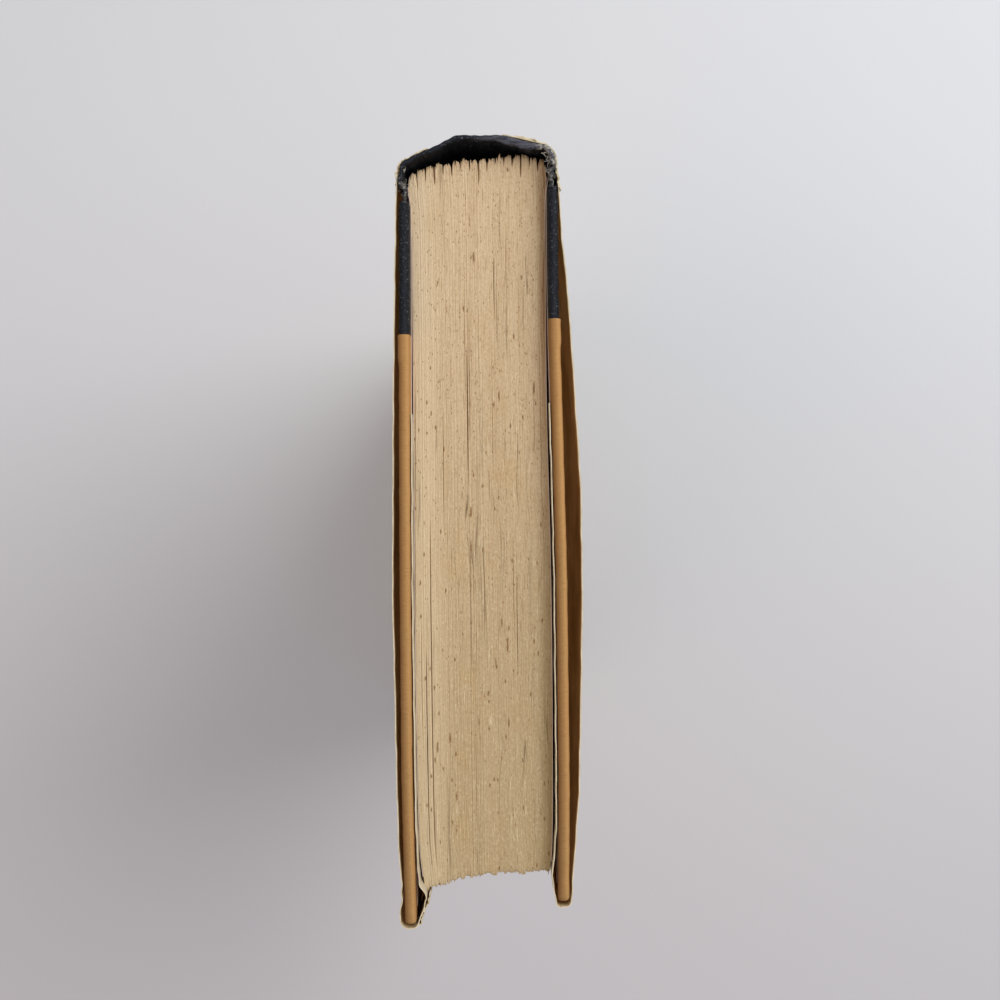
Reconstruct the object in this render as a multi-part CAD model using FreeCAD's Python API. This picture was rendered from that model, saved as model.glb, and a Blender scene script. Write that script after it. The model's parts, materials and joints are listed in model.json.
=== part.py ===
"""A quarter-bound hardback book in its dust jacket, standing on its tail edges.

X runs through the thickness from the front cover to the back cover, Y from the fore-edge to the spine and Z from
the tail to the head. The origin is on the surface that the book stands on, under the middle of its depth.
A cover is drawn for the back, X above zero, with its hinge line where it stands. The front one is its mirror image.
"""

import FreeCAD, Part
import math
import os

from FreeCAD import Vector

# the sewn pages
page_width = 142.9
page_height = 209.6
gathering_count = 16
gathering_thickness = 1.645
fold_notch = 0.4
spine_round = 5.0
fore_edge_hollow = 1.3

# how far the back of the book has been pushed towards the spine, as an often read book leans
lean = 2.8

# the papers beside the pages and on the boards
flyleaf_thickness = 0.12
cover_gap = 0.1
pastedown_thickness = 0.12
pastedown_margin = 3.0
lining_thickness = 0.3
lining_margin = 9.0
lining_share = 0.92
mull_thickness = 0.2
mull_reach = 24.0
mull_margin = 1.0

# the boards and what covers them
board_thickness = 1.8
board_corner_radius = 1.6
covering_edge_radius = 0.45
head_square = 3.2
fore_edge_square = 5.4
cloth_thickness = 0.22
cloth_shown = 25.4
siding_thickness = 0.2
siding_overlap = 6.0
siding_ramp = 2.0
turn_in = 15.0

# the joint between board and spine, and the rounded spine of the case
joint_width = 3.8
joint_flank = 2.5
joint_radius = 1.0
pivot_above_shoulder = 1.1
joint_rise = 1.8
joint_lip = 0.4
case_stub = 2.6
case_shoulder_radius = 1.8
case_slope = 30.0
case_round_share = 0.9
inlay_thickness = 0.6
fold_radius = 0.3
seam = 0.15

# the dust jacket
jacket_thickness = 0.18
jacket_gap = 0.12
jacket_short = 0.5
jacket_dip = 0.1
jacket_bulge = {"front": 1.3, "back": 3.6}
jacket_edge_gap = 0.5
jacket_corner_radius = 0.9
flap_width = 100.0
flap_tuck = {"front": 1.7, "back": 0.6}
flap_kink = 1.3
flap_lead = 0.5
chip_left = -9.5
chip_right = 5.0
chip_depth = 6.5

# how far each cover rests open on the jacket flap under it, in degrees
cover_rest_angle = 0.5

# places through the thickness, counted outwards from the middle of the pages
page_side = gathering_count * gathering_thickness / 2
flyleaf_side = page_side + flyleaf_thickness
pastedown_side = flyleaf_side + cover_gap
turn_in_side = pastedown_side + pastedown_thickness
board_inside = turn_in_side + cloth_thickness
board_outside = board_inside + board_thickness
cloth_outside = board_outside + cloth_thickness
joint_floor = turn_in_side + 2 * cloth_thickness
siding_outside = cloth_outside + siding_thickness
jacket_inside = siding_outside + jacket_gap
case_half_width = joint_floor + joint_rise
pivot_x = case_half_width + jacket_gap + jacket_thickness + jacket_gap

# places up the height
cover_height = page_height + 2 * head_square
page_low = head_square
page_high = head_square + page_height
board_low = cloth_thickness
board_high = cover_height - cloth_thickness

# places along the depth, with the middle of the whole book at zero
above_joint = pivot_above_shoulder - joint_width
board_width = page_width + fore_edge_hollow - spine_round + above_joint + fore_edge_square
case_rise = pivot_above_shoulder + case_stub + case_half_width * math.tan(math.radians(case_slope)) / 2
below_shoulder = board_width - above_joint + siding_thickness + jacket_edge_gap + jacket_thickness
shoulder_y = (below_shoulder - case_rise) / 2
pivot_y = shoulder_y + pivot_above_shoulder
board_spine_y = pivot_y - joint_width
board_fore_y = board_spine_y - board_width
fore_edge_y = shoulder_y + spine_round - page_width - fore_edge_hollow
siding_edge_y = board_spine_y - cloth_shown
cloth_edge_y = siding_edge_y - siding_overlap


def leaning(side):
    """How far the cover and the pages on that side are moved along the depth; side is -1 in front and 1 at the back."""
    return side * lean / 2


def box(x, y, z):
    """A block between two places in each direction."""
    return Part.makeBox(x[1] - x[0], y[1] - y[0], z[1] - z[0], Vector(x[0], y[0], z[0]))


def prism(points, low, high):
    """An outline of straight lines in the XY plane, raised from one height to another."""
    ring = [Vector(x, y, low) for x, y in points]
    return Part.Face(Part.makePolygon(ring + ring[:1])).extrude(Vector(0, 0, high - low))


def shifted(corners, distance):
    """The path's corners, (x, y, radius), with each run moved to its left and each radius to match."""
    runs = []
    for (x0, y0, _), (x1, y1, _) in zip(corners, corners[1:]):
        along = Vector(x1 - x0, y1 - y0, 0).normalize()
        runs.append((Vector(x0, y0, 0) + Vector(-along.y, along.x, 0) * distance, along))
    moved = [(runs[0][0].x, runs[0][0].y, 0)]
    for (start, along), (next_start, next_along), corner in zip(runs, runs[1:], corners[1:]):
        turn = along.cross(next_along).z
        reach = (next_start - start).cross(next_along).z / turn
        meet = start + along * reach
        moved.append((meet.x, meet.y, corner[2] - math.copysign(distance, turn)))
    start, along = runs[-1]
    last = Vector(corners[-1][0], corners[-1][1], 0)
    end = start + along * (last - start).dot(along)
    return moved + [(end.x, end.y, 0)]


def rounded_edges(corners):
    """The path as edges: straight runs, with an arc of its own radius at each corner between them."""
    edges = []
    place = Vector(corners[0][0], corners[0][1], 0)
    for before, corner, after in zip(corners, corners[1:], corners[2:]):
        point = Vector(corner[0], corner[1], 0)
        back = (Vector(before[0], before[1], 0) - point).normalize()
        ahead = (Vector(after[0], after[1], 0) - point).normalize()
        half = back.getAngle(ahead) / 2
        reach = corner[2] / math.tan(half)
        middle = (back + ahead).normalize()
        on_arc = point + middle * (corner[2] / math.sin(half) - corner[2])
        edges.append(Part.LineSegment(place, point + back * reach).toShape())
        edges.append(Part.Arc(point + back * reach, on_arc, point + ahead * reach).toShape())
        place = point + ahead * reach
    edges.append(Part.LineSegment(place, Vector(corners[-1][0], corners[-1][1], 0)).toShape())
    return edges


def sheet(corners, near, far, low, high):
    """The layer between two distances to the left of a path, raised from one height to another."""
    sides = [rounded_edges(shifted(corners, distance)) for distance in (near, far)]
    starts = [side[0].Vertexes[0].Point for side in sides]
    ends = [side[-1].Vertexes[-1].Point for side in sides]
    caps = [Part.LineSegment(*starts).toShape(), Part.LineSegment(*ends).toShape()]
    outline = Part.Wire(Part.__sortEdges__(sides[0] + sides[1] + caps))
    layer = Part.Face(outline).extrude(Vector(0, 0, high - low))
    layer.translate(Vector(0, 0, low))
    return layer


def ends_of_height(depth):
    """The two stretches of the cover's height that a turn-in of that depth lies on, at the tail and at the head."""
    return (0, depth), (cover_height - depth, cover_height)


def slab(x, y, z, corner):
    """A board's block, with its two fore-edge corners rounded."""
    outline = [
        Part.LineSegment(Vector(x[0], y[1], z[0]), Vector(x[0], y[0] + corner, z[0])).toShape(),
        Part.LineSegment(Vector(x[0], y[0], z[0] + corner), Vector(x[0], y[0], z[1] - corner)).toShape(),
        Part.LineSegment(Vector(x[0], y[0] + corner, z[1]), Vector(x[0], y[1], z[1])).toShape(),
        Part.LineSegment(Vector(x[0], y[1], z[1]), Vector(x[0], y[1], z[0])).toShape(),
    ]
    near = corner * (1 - math.sqrt(0.5))
    for height, way in ((z[0], 1), (z[1], -1)):
        arc = Part.Arc(
            Vector(x[0], y[0] + corner, height),
            Vector(x[0], y[0] + near, height + way * near),
            Vector(x[0], y[0], height + way * corner),
        )
        outline.append(arc.toShape())
    return Part.Face(Part.Wire(Part.__sortEdges__(outline))).extrude(Vector(x[1] - x[0], 0, 0))


# the sewn pages and what is glued to them


def spine_arc(side_gap):
    """Centre and radius of the round of the pages' spine, moved outwards by a gap."""
    half_chord = math.hypot(page_side, lean / 2)
    radius = (half_chord**2 + spine_round**2) / (2 * spine_round)
    tilt = math.atan2(lean / 2, page_side)
    drop = radius - spine_round
    centre = Vector(drop * math.sin(tilt), shoulder_y - drop * math.cos(tilt), 0)
    return centre, radius + side_gap


def spine_point(across, inwards=0.0):
    """A point on the round of the spine at a share across the thickness, from -1 at the front to 1 at the back."""
    centre, radius = spine_arc(-inwards)
    half_angle = math.asin(math.hypot(page_side, lean / 2) / (radius + inwards))
    angle = math.atan2(lean / 2, page_side) - across * half_angle + math.pi / 2
    return centre + Vector(math.cos(angle), math.sin(angle), 0) * radius


def text_block():
    """The pages as one block: a fold for each gathering down the round spine, and a hollow fore-edge."""
    front_foot = Vector(-page_side, fore_edge_y + leaning(-1), 0)
    back_foot = Vector(page_side, fore_edge_y + leaning(1), 0)
    hollow = Vector(0, fore_edge_y + fore_edge_hollow, 0)
    steps = [2 * i / gathering_count - 1 for i in range(gathering_count + 1)]
    notches = [spine_point(steps[0])]
    notches += [spine_point(step, fold_notch) for step in steps[1:-1]]
    notches += [spine_point(steps[-1])]
    crests = [spine_point((a + b) / 2) for a, b in zip(steps, steps[1:])]
    edges = [Part.Arc(a, crest, b).toShape() for a, crest, b in zip(notches, crests, notches[1:])]
    edges.append(Part.LineSegment(notches[-1], back_foot).toShape())
    edges.append(Part.Arc(back_foot, hollow, front_foot).toShape())
    edges.append(Part.LineSegment(front_foot, notches[0]).toShape())
    block = Part.Face(Part.Wire(edges)).extrude(Vector(0, 0, page_height))
    block.translate(Vector(0, 0, page_low))
    return block


def spine_lining():
    """The mull and paper glued over the folds, short of the head and the tail."""
    places = (-lining_share, 0.0, lining_share)
    inner = [spine_point(across) for across in places]
    outer = [spine_point(across, -lining_thickness) for across in places]
    edges = [
        Part.Arc(*inner).toShape(),
        Part.LineSegment(inner[-1], outer[-1]).toShape(),
        Part.Arc(*reversed(outer)).toShape(),
        Part.LineSegment(outer[0], inner[0]).toShape(),
    ]
    lining = Part.Face(Part.Wire(edges)).extrude(Vector(0, 0, page_height - 2 * lining_margin))
    lining.translate(Vector(0, 0, page_low + lining_margin))
    return lining


def flyleaf(side):
    """The free half of an endpaper, lying against the pages."""
    near, far = sorted((side * page_side, side * flyleaf_side))
    depth = (fore_edge_y + leaning(side), shoulder_y + leaning(side))
    return box((near, far), depth, (page_low, page_high))


# the spine of the case, between the two hinge lines


def spine_path():
    """The outer surface of the spine's cloth from the back hinge line over the round to the front one."""
    shoulder = pivot_y + case_stub
    apex = shoulder + case_half_width * math.tan(math.radians(case_slope))
    front_slope, back_slope = (
        math.atan((apex - shoulder - leaning(side)) / case_half_width) for side in (-1, 1)
    )
    round_reach = case_round_share * case_half_width / math.cos(back_slope)
    round_radius = round_reach / math.tan((front_slope + back_slope) / 2)
    return [
        (case_half_width, pivot_y + leaning(1), 0),
        (case_half_width, shoulder + leaning(1), case_shoulder_radius),
        (0, apex, round_radius),
        (-case_half_width, shoulder + leaning(-1), case_shoulder_radius),
        (-case_half_width, pivot_y + leaning(-1), 0),
    ]


def spine_cloth():
    """The quarter cloth over the spine, turned in over the card at the head and the tail."""
    turned = cloth_thickness + inlay_thickness
    through = turned + cloth_thickness
    cloth = sheet(spine_path(), 0, cloth_thickness, 0, cover_height)
    for low, high in ends_of_height(turn_in):
        cloth = cloth.fuse(sheet(spine_path(), turned, through, low, high))
    for low, high in ends_of_height(cloth_thickness):
        cloth = cloth.fuse(sheet(spine_path(), 0, through, low, high))
    cloth = cloth.removeSplitter()
    rims = [edge for edge in cloth.Edges if on_fold(edge, (0, cover_height))]
    return cloth.makeFillet(fold_radius, rims)


def on_fold(edge, heights):
    """Whether an edge runs level along the head or the tail, other than across the cloth's own thickness."""
    ends = [vertex.Point for vertex in edge.Vertexes]
    level = any(all(abs(end.z - height) < 1e-6 for end in ends) for height in heights)
    return level and edge.Length > cloth_thickness + inlay_thickness + 2 * cloth_thickness


def spine_inlay():
    """The strip of card that stiffens the spine, inside the cloth."""
    near = cloth_thickness
    far = near + inlay_thickness
    inlay = sheet(spine_path(), near, far, board_low, board_high)
    over_shoulders = box((-page_side, page_side), (pivot_y + case_stub / 2, 2 * pivot_y), (0, cover_height))
    return inlay.common(over_shoulders)


def jacket_spine():
    """The jacket over the spine, with a piece torn out at the head."""
    low, high = jacket_short, cover_height - jacket_short
    panel = sheet(spine_path(), -jacket_gap, -jacket_gap - jacket_thickness, low, high)
    width = chip_right - chip_left
    tear = [
        Vector(chip_left, 0, cover_height),
        Vector(chip_left + 0.10 * width, 0, high - 0.45 * chip_depth),
        Vector(chip_left + 0.30 * width, 0, high - 0.70 * chip_depth),
        Vector(chip_left + 0.52 * width, 0, high - chip_depth),
        Vector(chip_left + 0.74 * width, 0, high - 0.55 * chip_depth),
        Vector(chip_left + 0.90 * width, 0, high - 0.50 * chip_depth),
        Vector(chip_right, 0, cover_height),
    ]
    chip = Part.Face(Part.makePolygon(tear + tear[:1])).extrude(Vector(0, 2 * pivot_y, 0))
    return panel.cut(chip)


# a cover, drawn for the back of the book


def board():
    """The grey board, its cut edges square and its fore-edge corners a little rounded."""
    depth = (board_fore_y, board_spine_y)
    return slab((board_inside, board_outside), depth, (board_low, board_high), board_corner_radius)


def wrapped(thickness, outside):
    """A layer of one thickness all round the board, out to a face on the cover's outside."""
    depth = (board_fore_y - thickness, board_spine_y + thickness)
    corner = board_corner_radius + thickness
    shell = slab((board_inside - thickness, outside), depth, (0, cover_height), corner)
    return shell.makeFillet(covering_edge_radius, shell.Edges).cut(board())


def inner_window(edge_y):
    """The part of the board's inner face that the turn-ins leave bare, up to and past the spine edge."""
    return box((0, board_inside), (edge_y, 2 * pivot_y), (turn_in, cover_height - turn_in))


def joint_path():
    """The outer surface of the cloth in the joint, from the board's spine edge up to the hinge line."""
    return [
        (joint_floor, board_spine_y, 0),
        (joint_floor, pivot_y - joint_flank, joint_radius),
        (case_half_width, pivot_y - seam - joint_lip, joint_radius / 2),
        (case_half_width, pivot_y - seam, 0),
    ]


def cover_cloth():
    """The cloth on the board and across the joint: one sheet, turned in at the head and the tail."""
    whole = (0, cover_height)
    on_board = wrapped(cloth_thickness, cloth_outside)
    on_board = on_board.cut(box((0, 2 * pivot_x), (2 * board_fore_y, siding_edge_y), whole))
    on_board = on_board.cut(inner_window(2 * board_fore_y))
    flat_height = (covering_edge_radius, cover_height - covering_edge_radius)
    under_floor = (0, joint_floor - cloth_thickness)
    bare_edge = box(under_floor, (board_spine_y, pivot_y), (turn_in, cover_height - turn_in))
    tongue = box((board_outside, cloth_outside), (cloth_edge_y, siding_edge_y), flat_height)
    cloth = on_board.cut(bare_edge).fuse([tongue, sheet(joint_path(), 0, cloth_thickness, *whole)])
    for low, high in ends_of_height(turn_in):
        cloth = cloth.fuse(sheet(joint_path(), 0, 2 * cloth_thickness, low, high))
    return cloth.removeSplitter()


def siding():
    """The paper on the rest of the board, turned in on three sides and lapped over the edge of the cloth."""
    flat = board_outside + siding_thickness
    flat_height = (covering_edge_radius, cover_height - covering_edge_radius)
    paper = wrapped(siding_thickness, flat)
    paper = paper.cut(box((0, 2 * pivot_x), (siding_edge_y, 2 * pivot_y), (0, cover_height)))
    paper = paper.cut(inner_window(board_fore_y + turn_in))
    paper = paper.cut(box((board_outside, flat), (cloth_edge_y, siding_edge_y), flat_height))
    lap = prism(
        [
            (board_outside, cloth_edge_y - siding_ramp),
            (flat, cloth_edge_y - siding_ramp),
            (siding_outside, cloth_edge_y),
            (siding_outside, siding_edge_y),
            (cloth_outside, siding_edge_y),
            (cloth_outside, cloth_edge_y),
            (board_outside, cloth_edge_y),
        ],
        *flat_height,
    )
    return paper.fuse(lap).removeSplitter()


def pastedown():
    """The half of an endpaper that is pasted to the board and covers the turn-ins."""
    depth = (board_fore_y + pastedown_margin, shoulder_y)
    height = (pastedown_margin, cover_height - pastedown_margin)
    return box((pastedown_side, turn_in_side), depth, height)


def cover_mull():
    """The flange of open cloth that holds the pages to the board, under the pastedown."""
    depth = (board_spine_y - mull_reach, shoulder_y)
    height = (turn_in + mull_margin, cover_height - turn_in - mull_margin)
    return box((turn_in_side, turn_in_side + mull_thickness), depth, height)


def cover_jacket(bulge, tuck):
    """The jacket from the hinge line over the board, round its fore-edge and back inside as a flap.

    The flap kinks round the corner of the pages' fore-edge, then runs between the pages and the board.
    """
    hinge_x = case_half_width + jacket_gap
    fore_y = board_fore_y - siding_thickness - jacket_edge_gap
    middle_y = (board_spine_y + board_fore_y) / 2
    long_radius = 0.42 * board_width**2 / (4 * bulge)
    fore_edge_opening = (pivot_y - fore_edge_y) * math.tan(math.radians(cover_rest_angle))
    flap_x = pastedown_side - jacket_gap
    nip_x = flyleaf_side + jacket_gap + jacket_thickness - fore_edge_opening
    kink_y = fore_edge_y - flap_lead
    path = [
        (hinge_x, pivot_y - seam, 0),
        (hinge_x - jacket_dip, pivot_y - joint_flank, joint_radius),
        (jacket_inside, board_spine_y, joint_radius),
        (jacket_inside + bulge, middle_y, long_radius),
        (jacket_inside, fore_y, jacket_corner_radius),
        (flap_x, fore_y, jacket_corner_radius),
        (nip_x - tuck, kink_y - flap_kink, flap_kink / 3),
        (nip_x, kink_y, flap_kink / 3),
        (flap_x, fore_y + flap_width, 0),
    ]
    return sheet(path, 0, jacket_thickness, jacket_short, cover_height - jacket_short)


def placed(shape, side):
    """A piece of a cover, moved from where it is drawn to the front or the back of the book."""
    shape.rotate(Vector(pivot_x, pivot_y, 0), Vector(0, 0, 1), cover_rest_angle)
    if side < 0:
        shape = shape.mirror(Vector(0, 0, 0), Vector(1, 0, 0))
    shape.translate(Vector(0, leaning(side), 0))
    return shape


def whole_book():
    """Every piece by name."""
    pieces = {
        "text_block": text_block(),
        "spine_lining": spine_lining(),
        "spine_inlay": spine_inlay(),
        "spine_cloth": spine_cloth(),
        "jacket_spine": jacket_spine(),
    }
    for name, side in (("front", -1), ("back", 1)):
        pieces[name + "_flyleaf"] = flyleaf(side)
        pieces[name + "_board"] = placed(board(), side)
        pieces[name + "_cloth"] = placed(cover_cloth(), side)
        pieces[name + "_siding"] = placed(siding(), side)
        pieces[name + "_pastedown"] = placed(pastedown(), side)
        pieces[name + "_mull"] = placed(cover_mull(), side)
        pieces["jacket_" + name] = placed(cover_jacket(jacket_bulge[name], flap_tuck[name]), side)
    return pieces


os.makedirs("parts", exist_ok=True)
for name, shape in whole_book().items():
    shape.exportStep(f"parts/{name}.step")
    extent = shape.BoundBox
    print(
        f"{name}: {len(shape.Solids)} solid, valid {shape.isValid()}, {shape.Volume:.1f} mm3,",
        f"{extent.XLength:.2f} by {extent.YLength:.2f} by {extent.ZLength:.2f} mm",
    )
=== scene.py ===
# %% [markdown]
# # An old hardback book in a worn dust jacket
#
# The camera looks straight down on the head of a thick book that stands on its tail edges. Four things make
# such a book look real: pages that are many leaves and not one block, covers made of board wrapped in cloth
# and paper, a spine that arches away from the pages and leaves a dark hollow, and a thin paper jacket that
# stands off the covers and is torn where the book is pulled from a shelf. Each gets a step of its own
# below.

# %% Load the measured book
import json
import math

import bpy
import numpy as np
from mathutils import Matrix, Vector


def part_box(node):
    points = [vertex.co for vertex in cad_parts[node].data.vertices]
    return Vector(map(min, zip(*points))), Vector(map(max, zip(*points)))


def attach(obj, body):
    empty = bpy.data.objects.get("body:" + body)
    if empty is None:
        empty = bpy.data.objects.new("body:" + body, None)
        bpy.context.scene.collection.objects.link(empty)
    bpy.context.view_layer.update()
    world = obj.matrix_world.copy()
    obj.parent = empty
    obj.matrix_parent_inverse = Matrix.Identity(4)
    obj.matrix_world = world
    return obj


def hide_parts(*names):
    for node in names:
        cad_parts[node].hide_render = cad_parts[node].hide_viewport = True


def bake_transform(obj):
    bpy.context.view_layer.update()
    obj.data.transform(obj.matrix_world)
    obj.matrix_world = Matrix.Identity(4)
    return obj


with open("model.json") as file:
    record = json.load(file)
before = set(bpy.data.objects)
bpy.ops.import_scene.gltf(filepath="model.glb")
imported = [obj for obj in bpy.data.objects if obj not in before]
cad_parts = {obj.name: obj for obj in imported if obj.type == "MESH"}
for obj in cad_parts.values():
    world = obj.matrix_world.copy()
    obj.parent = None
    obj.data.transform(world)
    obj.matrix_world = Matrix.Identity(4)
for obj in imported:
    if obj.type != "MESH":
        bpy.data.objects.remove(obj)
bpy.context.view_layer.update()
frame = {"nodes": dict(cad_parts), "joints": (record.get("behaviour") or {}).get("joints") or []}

MM = 0.001
nodes = frame["nodes"]
hinges = {joint["child"]: [value / MM for value in joint["pos_m"]] for joint in frame["joints"]}
print("pieces in the frame:", len(nodes), "hinge lines at", hinges)

# %% [markdown]
# ## Measures
#
# Everything below is in millimetres, in the book's own frame: X through the thickness, Y from the fore-edge
# to the spine and Z up to the head. The pages and the two hinge lines are read from the frame. A cover is
# measured outwards from the middle of the pages and along from its own hinge line, so one set of sizes
# serves front and back.

# %% Measures of the pages, the covers and the jacket
pages_low, pages_high = ([value / MM for value in corner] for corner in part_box("text_block"))
pages_half = pages_high[0]
page_foot, page_head = pages_low[2], pages_high[2]
book_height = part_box("spine_cloth")[1][2] / MM
sides = {"front": -1, "back": 1}
hinge_out = abs(hinges["back_cover"][0])
hinge_y = {name: hinges[name + "_cover"][1] for name in sides}
hinge_middle = sum(hinge_y.values()) / 2
lean = hinge_y["back"] - hinge_y["front"]
cover_opening = math.radians(0.5)

shoulder_along = -1.1
board_spine_along = -3.8
board_width = 141.9
board_end_shift = {"front": -0.9, "back": 0.5}
board_fore_along = {name: board_spine_along - board_width + shift for name, shift in board_end_shift.items()}
cloth_shown = 26.5
siding_along = board_spine_along - cloth_shown
page_depth = 139.2

lining_short = 9
lining_thickness = 0.3
flyleaf_thickness = 0.12
endpaper_margin = 3.0
pastedown_out = 13.38
pastedown_thickness = 0.12
board_inside = 13.72
board_outside = 15.52
cloth_thickness = 0.22
siding_thickness = 0.20
cloth_outside = board_outside + cloth_thickness
cloth_sunk = 0.06
case_half_width = 15.74
case_thickness = 1.04
card_short, card_thickness = 0.5, 0.5
joint_thickness = 0.6
back_shoulder_in = 0.45
jacket_gap = 0.14
jacket_thickness = 0.20
jacket_short = 0.5
bend_from, bend_to = 0.6, -3.0
turn_in = 15.0
print(f"pages {2 * pages_half:.1f} mm thick, {page_head - page_foot:.1f} mm tall, lean {lean:.1f} mm")


def soft_curve(places, values):
    """A curve through values at places in millimetres, with its corners rounded off."""
    fine = np.linspace(places[0] - 4, places[-1] + 4, 300)
    soft = np.convolve(np.pad(np.interp(fine, places, values), 7, "edge"), np.full(15, 1 / 15), "valid")
    return lambda at: np.interp(at, fine, soft)


# how far each board has bowed outwards, by the distance along it from its hinge line
board_bow = {
    "front": soft_curve([-147, -140, -118, -80, -55, 0], [-1.05, -0.85, -0.3, -0.05, 0.0, 0.0]),
    "back": soft_curve(
        [-147, -142, -121, -80, -48, -31, -21, -5, 0],
        [-0.7, -0.58, -0.09, 0.22, -0.05, -0.28, -0.22, 0.0, 0.0],
    ),
}


def from_cover(name, out, along):
    """A place on a cover, in the book's own X and Y; the cover rests a little open and its board is bowed."""
    side, away = sides[name], out + board_bow[name](along) - hinge_out
    x = hinge_out + away * math.cos(cover_opening) - along * math.sin(cover_opening)
    y = away * math.sin(cover_opening) + along * math.cos(cover_opening)
    return side * x, hinge_y[name] + y


def bend_place(name, out, along):
    """A place on a cover in metres, at a distance out and along from its hinge line."""
    return (*(MM * value for value in from_cover(name, out, along)), 0.0)


# %% [markdown]
# ## Colours and nodes
#
# Colours are written as the hex values that a colour picker shows and turned to the linear light that the
# renderer works in. One small function adds a node, sets its options and joins its inputs; every material
# is made with it.

# %% Colour and node helpers
def linear(hex_colour):
    """An sRGB hex colour as linear red, green, blue and an alpha of one."""
    parts = [int(hex_colour[i:i + 2], 16) / 255 for i in (1, 3, 5)]
    return [c / 12.92 if c <= 0.04045 else ((c + 0.055) / 1.055) ** 2.4 for c in parts] + [1.0]


def add(material, kind, inputs, **options):
    """Adds a node to a material; inputs holds, by socket, a plain value or another node's output."""
    node = material.node_tree.nodes.new("ShaderNode" + kind)
    for option, value in options.items():
        setattr(node, option, value)
    for socket, value in inputs.items():
        if isinstance(value, bpy.types.NodeSocket):
            material.node_tree.links.new(value, node.inputs[socket])
        else:
            node.inputs[socket].default_value = value
    return node


def new_material(name):
    """A material with nothing in it but its output, and the place on the book in millimetres."""
    material = bpy.data.materials.new(name)
    material.use_nodes = True
    material.node_tree.nodes.clear()
    here = add(material, "TexCoord", {}).outputs["Object"]
    in_mm = add(material, "VectorMath", {0: here, "Scale": 1 / MM}, operation="SCALE").outputs[0]
    return material, in_mm


def stretched(material, place, per_mm):
    """The place with each direction scaled, for patterns that run further one way than another."""
    return add(material, "VectorMath", {0: place, 1: per_mm}, operation="MULTIPLY").outputs[0]


def noise(material, place, scale, detail=3.0, roughness=0.55, distortion=0.0):
    """A noise pattern's value at the place, from 0 to 1."""
    inputs = {"Vector": place, "Scale": scale, "Detail": detail}
    inputs.update({"Roughness": roughness, "Distortion": distortion})
    return add(material, "TexNoise", inputs).outputs["Fac"]


def ramp(material, value, start, end, low=0.0, high=1.0):
    """A smooth change from low to high while the value goes from start to end."""
    inputs = {"Value": value, "From Min": start, "From Max": end, "To Min": low, "To Max": high}
    return add(material, "MapRange", inputs, interpolation_type="SMOOTHSTEP").outputs[0]


def times(material, first, second):
    """Two values multiplied."""
    return add(material, "Math", {0: first, 1: second}, operation="MULTIPLY").outputs[0]


def mixed(material, share, first, second, blend="MIX"):
    """Two colours mixed by a share; a colour is a hex value or another node's output."""
    first, second = (linear(c) if isinstance(c, str) else c for c in (first, second))
    inputs = {0: share, 6: first, 7: second}
    return add(material, "Mix", inputs, data_type="RGBA", blend_type=blend).outputs[2]


def finish_surface(material, colour, roughness, height=None, height_mm=0.05, specular=0.5, through=0.0):
    """Ends a material in one shader, with a bump in millimetres and a share of light that passes through."""
    inputs = {"Base Color": colour, "Roughness": roughness, "Specular IOR Level": specular}
    if height is not None:
        bump = add(material, "Bump", {"Height": height, "Strength": 1.0, "Distance": height_mm * MM})
        inputs["Normal"] = bump.outputs[0]
    shader = add(material, "BsdfPrincipled", inputs)
    if through:
        glow = add(material, "BsdfTranslucent", {"Color": colour})
        shader = add(material, "MixShader", {0: through, 1: shader.outputs[0], 2: glow.outputs[0]})
    add(material, "OutputMaterial", {"Surface": shader.outputs[0]})
    return material


# %% [markdown]
# ## Paper of the pages
#
# The pages are uncoated book paper that has yellowed from its edges inwards. Seen edge-on, a leaf is a
# tenth of a millimetre, finer than the render can show, so the lines are drawn for small packets of leaves
# instead. They are noise that changes quickly through the thickness and hardly at all along a leaf. Foxing,
# the rust-brown specks of old damp, is a cell pattern stretched along the leaves, and only some cells carry
# a speck.

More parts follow.
